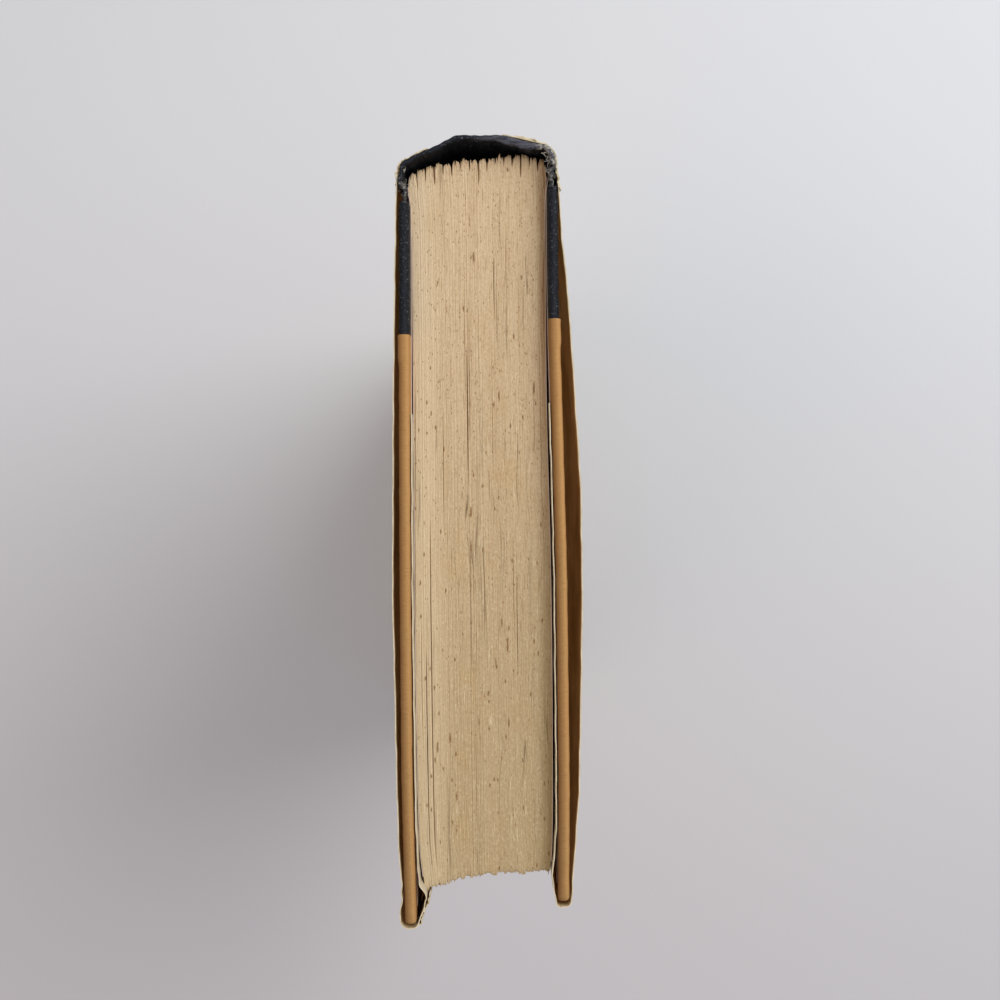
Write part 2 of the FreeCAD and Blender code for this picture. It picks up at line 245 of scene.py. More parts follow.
# %% Material: aged book paper, edge-on
def make_page_paper():
    """Yellowed paper seen edge-on: packets of leaves, fibres, creases, a stain and foxing."""
    material, place = new_material("aged_book_paper")
    parts = add(material, "SeparateXYZ", {0: place})
    x, y = parts.outputs[0], parts.outputs[1]
    wander_along = noise(material, stretched(material, place, (0.05, 0.035, 0.035)), 1.0, 1.0)
    shift = add(material, "CombineXYZ", {0: ramp(material, wander_along, 0.2, 0.8, -0.8, 0.8)})
    in_block = add(material, "VectorMath", {0: place, 1: shift.outputs[0]}, operation="ADD").outputs[0]
    packets = noise(material, stretched(material, in_block, (4.5, 0.02, 0.02)), 1.0, 3.0, 0.75)
    sheaves = noise(material, stretched(material, in_block, (0.45, 0.012, 0.012)), 1.0, 2.0)
    fibres = noise(material, stretched(material, place, (7.0, 2.6, 2.6)), 1.0, 3.0, 0.65)
    blotches = noise(material, stretched(material, place, (0.16, 0.07, 0.07)), 1.0, 3.0)

    # darker towards the fore-edge, the bottom of the view: partly the paper's own yellowing and partly
    # painted shade for the light falling off there
    toning_and_falloff_shade = ramp(material, y, 74.0, -72.0)
    colour = mixed(material, toning_and_falloff_shade, "#cdb38e", "#b29b74")
    lit_leaves = mixed(material, toning_and_falloff_shade, "#e2cba6", "#c9b58e")
    colour = mixed(material, ramp(material, packets, 0.3, 0.7, 0.0, 0.3), colour, lit_leaves)
    colour = mixed(material, ramp(material, sheaves, 0.4, 0.7, 0.0, 0.2), colour, "#b5986d")
    colour = mixed(material, ramp(material, fibres, 0.55, 0.8, 0.0, 0.4), colour, "#a88a62")
    colour = mixed(material, ramp(material, fibres, 0.42, 0.2, 0.0, 0.3), colour, "#dccaa9")
    colour = mixed(material, ramp(material, blotches, 0.5, 0.75, 0.0, 0.25), colour, "#b8955f")
    grain = noise(material, stretched(material, place, (4.2, 1.5, 1.5)), 1.0, 2.0, 0.8)
    colour = mixed(material, ramp(material, grain, 0.5, 0.72, 0.0, 0.5), colour, "#a4875f")
    colour = mixed(material, ramp(material, grain, 0.48, 0.28, 0.0, 0.45), colour, "#e4d3b1")
    dashes = noise(material, stretched(material, in_block, (5.0, 0.22, 0.22)), 1.0, 1.0, 0.6)
    colour = mixed(material, ramp(material, dashes, 0.62, 0.72, 0.0, 0.5), colour, "#8f7049")
    colour = mixed(material, ramp(material, dashes, 0.36, 0.26, 0.0, 0.5), colour, "#e6d5b2")

    # painted light: the leaves by the front cover are made paler, to lift the shade that the raised cover
    # leaves on them
    colour = mixed(material, ramp(material, x, -5.0, -12.5, 0.0, 0.42), colour, "#ecd5b0")

    # painted shade: where leaves stand apart, a fine dark line stands for the shade in the gap, with its own
    # start and end
    for per_mm, at, half_width, dark in ((0.55, 0.5, 0.0035, 0.62), (1.3, 0.52, 0.006, 0.4)):
        parting = noise(material, stretched(material, in_block, (per_mm, 0.005, 0.005)), 1.0, 1.0, 0.6)
        off = add(material, "Math", {0: parting, 1: at}, operation="SUBTRACT").outputs[0]
        off = add(material, "Math", {0: off}, operation="ABSOLUTE").outputs[0]
        stretches = noise(material, stretched(material, place, (0.6, 0.028, 0.028)), 1.0, 1.0)
        gap_shade = ramp(material, off, 2.2 * half_width, 0.4 * half_width)
        line = times(material, gap_shade, ramp(material, stretches, 0.48, 0.6))
        colour = mixed(material, times(material, line, dark), colour, "#4f3b22")

    # the stain that has crept in from the back board, strongest by the spine, and an olive strip lower down
    near_back = ramp(material, x, pages_half - 2.2, pages_half - 0.4)
    near_spine = ramp(material, y, 14.0, 40.0, 0.25, 1.0)
    streaks = ramp(material, packets, 0.38, 0.58, 0.12, 1.0)
    stain = times(material, times(material, near_back, near_spine), streaks)
    colour = mixed(material, times(material, stain, 0.8), colour, "#9a6f3c")
    olive_leaves = ramp(material, x, pages_half - 2.6, pages_half - 1.6)
    olive = times(material, olive_leaves, ramp(material, y, 20.0, -30.0))
    colour = mixed(material, times(material, olive, 0.2), colour, "#8a7a40")

    # foxing: fine pepper near the spine, long rust-brown marks towards the fore-edge
    ragged = times(material, noise(material, place, 3.0, 2.0), 0.3)
    for cells_per_mm, size, share, more_from, more_to in (
        ((2.7, 1.0, 1.0), 0.20, 0.20, -75.0, 60.0),
        ((1.2, 0.42, 0.42), 0.18, 0.15, 75.0, -10.0),
        ((0.85, 0.17, 0.17), 0.16, 0.17, 50.0, -40.0),
    ):
        cell_place = stretched(material, place, cells_per_mm)
        cells = add(material, "TexVoronoi", {"Vector": cell_place, "Scale": 1.0})
        chance = add(material, "SeparateColor", {0: cells.outputs["Color"]}).outputs[0]
        allowed = ramp(material, y, more_from, more_to, 0.25 * share, share)
        present = add(material, "Math", {0: chance, 1: allowed}, operation="LESS_THAN").outputs[0]
        reach = add(material, "Math", {0: cells.outputs["Distance"], 1: ragged}, operation="ADD").outputs[0]
        spot = times(material, ramp(material, reach, size + 0.24, size + 0.10), present)
        colour = mixed(material, times(material, spot, 0.78), colour, "#7a5429")

    lift = add(material, "Math", {0: packets, 1: fibres}, operation="ADD").outputs[0]
    return finish_surface(material, colour, 0.93, lift, 0.05, 0.25)


page_paper = make_page_paper()
print("page paper:", len(page_paper.node_tree.nodes), "nodes")

# %% [markdown]
# ## Endpapers and jacket paper
#
# Endpapers are a heavier, smoother sheet than the pages and stay paler. The jacket is coated paper: ivory
# outside with a faint gloss and handling marks. Its inside is painted tan, which stands for warm light
# bounced off the tan siding and the shade between jacket and board, and fades to cream over its top three
# millimetres. Its cut edge shows the pale core of the sheet, so one material can't serve all three, and
# each face gets its own.

# %% Materials: endpaper and the three faces of the jacket paper
def make_plain_paper(name, base, toned, spot, roughness, specular, per_mm=0.06, through=0.0, pale_head=None):
    """A clouded paper with a few specks of foxing; a pale head fades in over its last three millimetres."""
    material, place = new_material(name)
    clouds = noise(material, place, per_mm, 5.0, 0.6)
    fibres = noise(material, place, 4.0, 3.0, 0.7)
    colour = mixed(material, ramp(material, clouds, 0.35, 0.7), base, toned)
    colour = mixed(material, ramp(material, fibres, 0.35, 0.8, 0.0, 0.3), colour, toned)
    cells = add(material, "TexVoronoi", {"Vector": place, "Scale": 0.35})
    chance = add(material, "SeparateColor", {0: cells.outputs["Color"]}).outputs[0]
    present = add(material, "Math", {0: chance, 1: 0.12}, operation="LESS_THAN").outputs[0]
    edge = times(material, noise(material, place, 1.5, 3.0), 0.5)
    reach = add(material, "Math", {0: cells.outputs["Distance"], 1: edge}, operation="ADD").outputs[0]
    speck = times(material, ramp(material, reach, 0.55, 0.3), present)
    colour = mixed(material, times(material, speck, 0.35), colour, spot)
    if pale_head:
        height = add(material, "SeparateXYZ", {0: place}).outputs[2]
        at_head = ramp(material, height, book_height - 3.0, book_height - 1.0)
        colour = mixed(material, at_head, colour, pale_head)
    return finish_surface(material, colour, roughness, fibres, 0.02, specular, through=through)


endpaper = make_plain_paper("wove_endpaper", "#e2cdbb", "#d2b79c", "#9a7448", 0.9, 0.25)
jacket_outside = make_plain_paper(
    "coated_jacket_paper", "#e6dcc2", "#d8c9a4", "#a8875a", 0.5, 0.45, 0.03, 0.4
)
# painted reflection and shade: the tan inside stands for warm light bounced off the siding and the shade in
# the gap; the pale head fades to cream
jacket_inside = make_plain_paper(
    "inside_of_jacket_painted_with_bounce_light", "#b5895c", "#9c7044", "#7c5730", 0.85, 0.25, 0.06, 0.38, pale_head="#e2d2ab"
)
jacket_edge = make_plain_paper("cut_edge_of_jacket", "#dfd3b6", "#c4b490", "#8f7448", 0.9, 0.25, 0.4)
print("papers:", endpaper.name, jacket_outside.name, jacket_inside.name, jacket_edge.name)

# %% [markdown]
# ## Binding cloth, siding paper and board
#
# The spine and the first inch of each board wear a near-black book cloth: a plain cotton weave, starched
# and dyed, about twenty threads to the centimetre, with the dye rubbed off its highest threads. The rest of
# the board wears paste paper in a warm tan, which shows brush fibres across the edge; painted shade darkens
# its rounded edges and its side away from the window lamp, and a painted highlight lightens the other side.

# %% Material: starched book cloth
def make_book_cloth(
    name, rub_per_mm=0.45, rub_from=0.60, rub_colour="#6f7480", rub_share=0.6, head_cap=False
):
    """Near-black plain weave, rubbed in places, with a painted highlight where it faces up; the head cap also
    gets a painted sheen on its up-facing roll and is rubbed to pale fibres at the back shoulder.
    """
    material, place = new_material(name)
    thread_mm = 0.5
    warped = noise(material, place, 0.5, 2.0)
    parts = add(material, "SeparateXYZ", {0: place})
    flat_way = add(material, "Math", {0: parts.outputs[0], 1: parts.outputs[1]}, operation="ADD").outputs[0]
    threads = []
    turn_per_mm = 2 * math.pi / thread_mm
    for way in (flat_way, parts.outputs[2]):
        turn = add(material, "Math", {0: way, 1: turn_per_mm, 2: warped}, operation="MULTIPLY_ADD")
        threads.append(add(material, "Math", {0: turn.outputs[0]}, operation="SINE").outputs[0])
    weave = ramp(material, times(material, threads[0], threads[1]), -1.0, 1.0)
    slubs = noise(material, stretched(material, place, (1.0, 1.0, 3.0)), 1.4, 4.0, 0.75)
    rub = noise(material, place, rub_per_mm, 5.0, 0.75)
    flecks = noise(material, place, 2.6, 2.0)
    colour = mixed(material, ramp(material, slubs, 0.3, 0.75), "#04060a", "#0f1219")
    colour = mixed(material, times(material, weave, 0.25), colour, "#1d2129")
    rubbed = times(material, ramp(material, rub, rub_from, rub_from + 0.16), ramp(material, slubs, 0.4, 0.65))
    colour = mixed(material, times(material, rubbed, rub_share), colour, rub_colour)
    # pale flecks, partly specks of dust and partly painted glints for the cloth's speckled highlights
    colour = mixed(material, ramp(material, flecks, 0.6, 0.7, 0.0, 0.6), colour, "#76787c")
    facing = add(material, "SeparateXYZ", {0: add(material, "TexCoord", {}).outputs["Normal"]}).outputs[2]
    # painted highlight: faces that point up are lightened towards a bluish sheen
    colour = mixed(material, ramp(material, facing, 0.85, 1.0, 0.0, 0.25), colour, "#212836")
    if head_cap:
        # painted sheen: on the right of the head cap the up-facing roll is greyed in streaks, for light
        # caught on the flattened fold
        right = ramp(material, parts.outputs[0], -3.0, 5.0)
        streaks = noise(material, stretched(material, place, (0.5, 2.5, 1.0)), 1.0, 4.0)
        streaked = ramp(material, streaks, 0.35, 0.6, 0.2, 1.0)
        head_cap_sheen = times(material, times(material, ramp(material, facing, 0.2, 0.75), right), streaked)
        colour = mixed(material, times(material, head_cap_sheen, 0.5), colour, "#6f6e78")
        at_shoulder = ramp(material, parts.outputs[0], 10.5, 12.8)
        bared = times(material, at_shoulder, ramp(material, facing, 0.0, 0.6))
        tufts = ramp(material, noise(material, place, 1.9, 4.0, 0.7), 0.46, 0.58)
        colour = mixed(material, times(material, times(material, bared, tufts), 0.85), colour, "#aaa598")
    height = add(material, "Math", {0: weave, 1: slubs}, operation="ADD").outputs[0]
    return finish_surface(material, colour, 0.5, height, 0.10, 0.2)


book_cloth = make_book_cloth("starched_book_cloth")
head_cap_cloth = make_book_cloth("book_cloth_rubbed_with_painted_sheen_at_the_head_cap", head_cap=True)
worn_cloth = make_book_cloth("book_cloth_worn_to_its_fibres", 1.3, 0.43, "#b5b0a4", 0.9)
print("cloths:", book_cloth.name, head_cap_cloth.name, worn_cloth.name)


# %% Material: paste paper siding
def make_siding_paper():
    """Tan paste paper with brush fibres; painted shade on its rounded edges and on faces away from the window
    lamp, and a painted highlight on faces towards it.
    """
    material, place = new_material("tan_paste_paper")
    brushed = noise(material, stretched(material, place, (0.9, 5.0, 0.9)), 1.0, 4.0, 0.65)
    fibres = noise(material, stretched(material, place, (2.0, 7.0, 2.0)), 1.0, 4.0, 0.7)
    clouds = noise(material, place, 0.09, 4.0)
    y = add(material, "SeparateXYZ", {0: place}).outputs[1]
    # darker towards the fore-edge, the bottom of the view: partly painted shade for the light falling off
    # there
    colour = mixed(material, ramp(material, y, 45.0, -72.0), "#a97f48", "#967343")
    colour = mixed(material, ramp(material, clouds, 0.35, 0.7, 0.0, 0.5), colour, "#a27441")
    colour = mixed(material, ramp(material, brushed, 0.4, 0.8, 0.0, 0.4), colour, "#c89a62")
    colour = mixed(material, ramp(material, fibres, 0.5, 0.75, 0.0, 0.5), colour, "#7a5630")
    facing = add(material, "SeparateXYZ", {0: add(material, "TexCoord", {}).outputs["Normal"]})
    # painted shade: the rounded edges, where the surface tilts from the top to the sides, are darkened
    tilted = ramp(material, facing.outputs[2], 0.97, 0.35)
    rounded_edge_shade = times(material, tilted, ramp(material, facing.outputs[2], -0.1, 0.15))
    colour = mixed(material, times(material, rounded_edge_shade, 0.6), colour, "#75512c")
    # painted shade: faces turned to -X, away from the window lamp, are darkened
    shade_away_from_window = ramp(material, facing.outputs[0], 0.35, -0.75)
    colour = mixed(material, times(material, shade_away_from_window, 0.5), colour, "#7d5328")
    # painted highlight: faces turned to +X, towards the window lamp, are lightened
    colour = mixed(material, ramp(material, facing.outputs[0], 0.0, 0.6, 0.0, 0.35), colour, "#c9975a")
    scratches = noise(material, stretched(material, place, (0.7, 6.0, 0.7)), 1.0, 1.0, 0.5, 0.6)
    colour = mixed(material, ramp(material, scratches, 0.64, 0.7, 0.0, 0.45), colour, "#7a5630")
    return finish_surface(material, colour, 0.72, fibres, 0.05, 0.3)


siding_paper = make_siding_paper()
print("siding paper:", len(siding_paper.node_tree.nodes), "nodes")


# %% Materials: grey board, spine card, mull and glued lining
def make_fibrous(name, light, dark, grain_mm):
    """Board, card or kraft paper: one fibrous grain between two colours."""
    material, place = new_material(name)
    grain = noise(material, place, 1 / grain_mm, 5.0, 0.7)
    colour = mixed(material, ramp(material, grain, 0.3, 0.7), dark, light)
    return finish_surface(material, colour, 0.9, grain, 0.08, 0.2)


grey_board = make_fibrous("grey_pulp_board", "#8b8172", "#6c6355", 0.6)
spine_card = make_fibrous("manila_spine_card", "#9a8664", "#7d6a4b", 0.5)
glued_lining = make_fibrous("glued_kraft_lining", "#a08258", "#6f5433", 0.9)
print("materials:", len(bpy.data.materials))

# %% [markdown]
# ## Building blocks for thin sheets
#
# Cloth, card and paper are all thin sheets that follow a line on plan and stand upright, so one function
# builds them all. The line is drawn with a few corners, each rounded to its own radius. The sheet gets a
# true thickness: an outer face, an inner face and a rim, and its upper and lower edge may wander, which is
# how a tear is made.

# %% A line of corners, rounded
def line_length(line):
    """How long a line of points is."""
    return float(np.linalg.norm(np.diff(line, axis=0), axis=1).sum())


def rounded_line(corners):
    """Points along a line of corners (x, y, radius, step), where step is the spacing after that corner."""
    points = [np.array(corners[0][:2], float)]
    step = corners[0][3]

    def run_to(end):
        start = points[-1]
        count = max(1, math.ceil(np.linalg.norm(end - start) / step))
        points.extend(start + (end - start) * i / count for i in range(1, count + 1))

    for before, corner, after in zip(corners, corners[1:], corners[2:]):
        point = np.array(corner[:2], float)
        back = np.array(before[:2]) - point
        ahead = np.array(after[:2]) - point
        back, ahead = back / np.linalg.norm(back), ahead / np.linalg.norm(ahead)
        half = math.acos(max(-1.0, min(1.0, float(back @ ahead)))) / 2
        if math.pi - 2 * half < 1e-3:
            run_to(point)
            step = corner[3]
            continue
        reach = corner[2] / math.tan(half)
        run_to(point + back * reach)
        middle = (back + ahead) / np.linalg.norm(back + ahead)
        centre = point + middle * (corner[2] / math.sin(half))
        first, last = point + back * reach - centre, point + ahead * reach - centre
        turn = math.pi - 2 * half
        count = max(2, math.ceil(turn / math.radians(11)), math.ceil(turn * corner[2] / max(step, corner[3])))
        for i in range(1, count + 1):
            share = i / count
            spread = math.sin(turn)
            arm = (first * math.sin((1 - share) * turn) + last * math.sin(share * turn)) / spread
            points.append(centre + arm)
        step = corner[3]
    run_to(np.array(corners[-1][:2], float))
    return np.array(points)


def cover_line(name, corners):
    """A rounded line through corners (out, along, radius, step) measured on a cover."""
    return rounded_line([(*from_cover(name, out, along), *rest) for out, along, *rest in corners])


def sideways(points):
    """The direction to the left of the line at each point, for pushing a sheet's faces apart."""
    along = np.gradient(points, axis=0)
    along /= np.linalg.norm(along, axis=1)[:, None]
    return np.stack([-along[:, 1], along[:, 0]], axis=1)


# %% A mesh from arrays, and a sheet along a line
sharp_fold = math.radians(50)


def mesh_piece(name, vertices, faces, materials, face_materials=None, smooth=True):
    """A new object from places in millimetres."""
    mesh = bpy.data.meshes.new(name)
    mesh.from_pydata((np.asarray(vertices) * MM).tolist(), [], [list(map(int, face)) for face in faces])
    for material in materials:
        mesh.materials.append(material)
    if face_materials is not None:
        mesh.polygons.foreach_set("material_index", np.asarray(face_materials, dtype=np.int32))
    mesh.polygons.foreach_set("use_smooth", [smooth] * len(mesh.polygons))
    mesh.validate()
    if smooth:
        mesh.set_sharp_from_angle(angle=sharp_fold)
    mesh.update()
    piece = bpy.data.objects.new(name, mesh)
    bpy.context.scene.collection.objects.link(piece)
    return piece


def tube_faces(columns, around):
    """Quads that join rings of vertices into a closed tube, and its two end faces."""
    i, j = np.meshgrid(np.arange(columns - 1), np.arange(around), indexing="ij")
    k = (j + 1) % around
    quads = np.stack([i * around + j, i * around + k, (i + 1) * around + k, (i + 1) * around + j], axis=-1)
    ends = [list(range(around))[::-1], list(range((columns - 1) * around, columns * around))]
    return quads.reshape(-1, 4).tolist() + ends


def upright_rows(low, high, near=(0.4, 1.0, 2.0, 3.5, 6.0, 9.0, 12.0, 15.0, 15.4, 20.0), middle=14):
    """Heights from one edge to the other, as shares of the whole, close together near both edges."""
    span = high - low
    near = [0.0] + [h for h in near if h < 0.35 * span]
    heights = [h / span for h in near]
    heights += list(np.linspace(near[-1] / span, 1 - near[-1] / span, middle)[1:-1])
    heights += [1 - h / span for h in reversed(near)]
    return np.array(heights)


def sheet_vertices(line, low, high, thickness, push, rounding, thickness_at):
    """A sheet's section as a ring, up its outer face and down its inner one, and the number of rows."""
    rows = upright_rows(float(np.mean(low)), float(np.mean(high)))
    left = sideways(line)
    low, high = np.broadcast_to(low, len(line)), np.broadcast_to(high, len(line))
    z = low[:, None] + (high - low)[:, None] * rows[None, :]
    shift = np.zeros_like(z) if push is None else push(line, z) * np.ones_like(z)
    depth = thickness * (np.ones_like(z) if thickness_at is None else thickness_at(line, z))
    faces = []
    for offset in (shift, shift + depth):
        xy = line[:, None, :] + left[:, None, :] * offset[..., None]
        faces.append(np.concatenate([xy, z[..., None]], axis=2))
    outer, inner = faces
    caps = []
    for end, sign in ((-1, 1), (0, -1)):
        centre, arm = (outer[:, end] + inner[:, end]) / 2, (outer[:, end] - inner[:, end]) / 2
        angles = np.linspace(0, math.pi, rounding + 1)[1:-1] if rounding else []
        cap = [centre + arm * math.cos(angle) for angle in angles]
        for ring, angle in zip(cap, angles):
            ring[:, 2] += sign * abs(thickness) / 2 * math.sin(angle)
        caps.append(np.stack(cap, axis=1) if cap else np.zeros((len(line), 0, 3)))
    return np.concatenate([outer, caps[0], inner[:, ::-1], caps[1][:, ::-1]], axis=1), len(rows)


def sheet_piece(
    name, line, low, high, thickness, materials, push=None, rounding=0, thickness_at=None, rim_material=0
):
    """A sheet as a closed piece, with its outer face to the right of the line when the thickness is positive.

    The materials are for its outer face, its inner face and its edges; a rounded edge has the rim's material.
    """
    ring, rows = sheet_vertices(line, low, high, thickness, push, rounding, thickness_at)
    columns, around = ring.shape[:2]
    faces = tube_faces(columns, around)
    if thickness > 0:
        faces = [face[::-1] for face in faces]
    rim = rim_material if rounding else 2
    kind = np.full(around, rim)
    kind[:rows - 1] = 0
    start = rows + max(0, rounding - 1)
    kind[start:start + rows - 1] = 1
    kinds = np.tile(kind, columns - 1).tolist() + [rim] * 2
    return mesh_piece(name, ring.reshape(-1, 3), faces, materials, np.minimum(kinds, len(materials) - 1))


def wander(values, spacing, amount, seed):
    """A smooth random curve over the values, with a new random height every so many millimetres."""
    draw = np.random.default_rng(seed)
    start, stop = float(np.min(values)) - spacing, float(np.max(values)) + 2 * spacing
    knots = np.arange(start, stop + spacing, spacing)
    heights = draw.uniform(-amount, amount, len(knots))
    share = (values - start) / spacing
    index = np.clip(share.astype(int), 0, len(knots) - 2)
    t = share - index
    t = t * t * (3 - 2 * t)
    return heights[index] * (1 - t) + heights[index + 1] * t


# %% [markdown]
# ## The pages
#
# A block of pages is sewn from sixteen gatherings. Each shows as a rounded fold down the spine, and the cut
# between two folds runs a few millimetres into the head as a dark slit. A bumpy texture would miss the
# silhouette at both ends, so the block is modelled: one column of vertices for each leaf, carried round the
# head, the fore-edge, the tail and the spine. Every leaf sits a hair higher or lower than the next, and the
# torn-looking deckle of the fore-edge comes from small packets of leaves that stick out together.

# %% The block of pages, a column for each leaf
gatherings = 16
leaves = 256
spine_rise = 3.35
spine_base = hinge_middle + shoulder_along + 1.35
fore_edge_hollow = 0.9
loose_packets = gatherings * 7

# how far the outermost leaf is beyond the measured side, by its place along the depth
leaf_bow = {
    -1: soft_curve(
        [-71.5, -67, -64, -56, -35, -14, 25, 60, 68, 72],
        [-1.05, -0.25, -0.05, 0.15, 0.3, 0.35, 0.15, 0.1, 0.8, 1.1],
    ),
    1: soft_curve(
        [-70, -66, -56, -35, -15, 0, 20, 33, 65, 71],
        [-0.65, -0.15, 0.15, 0.3, 0.35, 0.2, -0.15, -0.2, -0.05, 0.45],
    ),
}


def page_side(y, side):
    """How far the outermost leaf is from the middle; the block swells between the covers."""
    return pages_half + leaf_bow[side](y)


def spine_of_pages(across):
    """The line of the folds on plan, at a share across from -1 to 1, before each fold's own round."""
    return spine_base + across * lean / 2 + spine_rise * (1 - np.abs(across) ** 3) ** (1 / 3)


def page_side_faces(start, count_head, count_fore, around):
    """The faces of an outermost leaf, as strips from head to tail, so that it follows the bow."""
    head = np.arange(count_head)
    foot = count_head + count_fore + head
    strips = np.stack([head[:-1], head[1:], foot[::-1][1:], foot[::-1][:-1]], axis=1).tolist()
    fore = list(range(count_head - 1, count_head + count_fore + 1))
    back = list(range(foot[-1], around)) + [0]
    return [[start + v for v in face] for face in strips + [fore, back]]


def build_pages():
    """The block as one piece; the order of the random draws fixes every slit, tooth and loose leaf."""
    draw = np.random.default_rng(11)
    across = np.linspace(-1, 1, leaves + 1)
    in_fold = (across + 1) / 2 * gatherings
    gathering = np.minimum(in_fold.astype(int), gatherings - 1)
    cut = np.round(in_fold).astype(int)
    from_cut = np.abs(in_fold - cut) * 2
    fold_depth = draw.uniform(0.5, 1.3, gatherings + 1)[cut]
    fold_depth[(cut == 0) | (cut == gatherings)] = 0.3
    fold_round = fold_depth * (1 - np.sqrt(1 - (1 - from_cut) ** 2))
    crest = draw.uniform(-0.3, 0.3, gatherings)
    crest[[6, 12, 13]] += 0.4
    fray = np.repeat(draw.normal(0, 0.2, leaves // 2 + 1), 2)[:leaves + 1] + draw.normal(0, 0.08, leaves + 1)
    spine_y = spine_of_pages(across) - fold_round + crest[gathering] + fray

    packet = np.cumsum(draw.random(leaves + 1) < 0.42)
    tooth = draw.uniform(0, 1, packet[-1] + 1)[packet] ** 1.5 * 0.85
    hollow = fore_edge_hollow * (1 - across ** 2)
    at_front = 1.1 * np.clip(-across - 0.35, 0, 1)
    fore_y = spine_base - page_depth - 0.8 + across * lean / 2 + hollow - at_front
    slit_length = draw.uniform(0.8, 2.4, gatherings + 1)
    slit_length[draw.choice(gatherings, 4, replace=False)] += 2.4
    slit_depth = draw.uniform(0.4, 1.6, gatherings + 1)
    slit_depth[[0, -1]] = 0.0
    in_slit = np.clip(1 - from_cut / 0.2, 0, 1)

    # single leaves that stand back from their neighbours for part of their length, most of them by the front
    parted = np.zeros((leaves + 1, 3))
    for at, near, far in ((0.075, 96, 137), (0.115, 70, 139), (0.27, 14, 46), (0.40, 38, 64), (0.61, 20, 31)):
        parted[int(at * leaves)] = near, far, 0.6
    for at in draw.choice(leaves, 22, replace=False):
        near = draw.uniform(4, 110)
        parted[at] = near, near + draw.uniform(5, 30), draw.uniform(0.1, 0.28)

    near_spine = np.concatenate([np.linspace(0, 11, 24), np.linspace(13, 134, 56)])
    columns = []
    for i in range(leaves + 1):
        head = []
        start = spine_y[i]
        deckle = fore_y[i] - tooth[i]
        span = start - deckle
        for distance in np.append(near_spine, [span - 3, span - 1.2, span - 0.4, span]):
            fade = max(0.0, 1 - distance / slit_length[cut[i]])
            drop = slit_depth[cut[i]] * in_slit[i] * fade ** 0.6
            drop += 0.45 * max(0.0, 1 - distance / 1.0) ** 2
            drop += 0.30 * max(0.0, 1 - (span - distance) / 0.9) ** 2
            if parted[i, 0] < distance < parted[i, 1]:
                share = (distance - parted[i, 0]) / (parted[i, 1] - parted[i, 0])
                drop += parted[i, 2] * math.sin(math.pi * share) ** 0.5
            head.append((start - distance, page_head - drop))
        heights = np.linspace(page_head - 1.0, page_foot + 1.0, 42)
        fore = [(deckle, z) for z in heights]
        foot = [(y, page_foot + (page_head - z)) for y, z in reversed(head)]
        back = [(start, z) for z in heights[::-3]]
        columns.append(head + fore + foot + back)
    ring = np.array(columns)
    count_head, count_fore = len(near_spine) + 4, 42
    leaf_height = draw.normal(0, 0.018, leaves + 1) + 0.03 * wander(across * 13, 1.6, 1.0, 5)
    ring[:, :count_head, 1] += leaf_height[:, None]
    rough = draw.normal(0, 0.05, (leaves + 1, 24)) * np.exp(-near_spine[:24] / 2.5)[None, :]
    ring[:, :24, 1] += rough
    fore = slice(count_head, count_head + count_fore)
    for k in range(loose_packets):
        at = int(draw.integers(0, leaves))
        wide = int(draw.integers(2, 9))
        z = ring[at, fore, 1]
        ring[at:at + wide, fore, 0] += wander(z, float(draw.uniform(6, 22)), 0.28, 100 + k)
    side = np.where(across[:, None] < 0, page_side(ring[..., 0], -1), page_side(ring[..., 0], 1))
    x = across[:, None] * side
    vertices = np.stack([x, ring[..., 0], ring[..., 1]], axis=-1)
    around = ring.shape[1]
    faces = tube_faces(leaves + 1, around)[:-2]
    faces += [face[::-1] for face in page_side_faces(0, count_head, count_fore, around)]
    faces += page_side_faces(leaves * around, count_head, count_fore, around)
    pages = mesh_piece("pages", vertices.reshape(-1, 3), faces, [page_paper], smooth=False)
    print(f"pages: {vertices.size // 3} vertices in {leaves} leaves")
    return pages


pages = build_pages()
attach(pages, "block")
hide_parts("text_block")

# %% [markdown]
# ## Lining, flyleaves and pastedowns
#
# Under the hollow of the spine the folds are lined with open cloth and brown paper, stopping short of both
# ends. Each endpaper is one folded sheet: its free half is the flyleaf, against the pages, and the other is
# pasted inside the cover and carries the joint.

# %% Lining and endpapers
across = np.linspace(-0.93, 0.93, 60)
lining_line = np.stack([across * (pages_half + 0.3), spine_of_pages(across) + 0.25], axis=1)[::-1]
lining = sheet_piece("spine_lining_strip", lining_line, page_foot + lining_short, page_head - lining_short,
                     -lining_thickness, [glued_lining])
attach(lining, "block")
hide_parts("spine_lining")

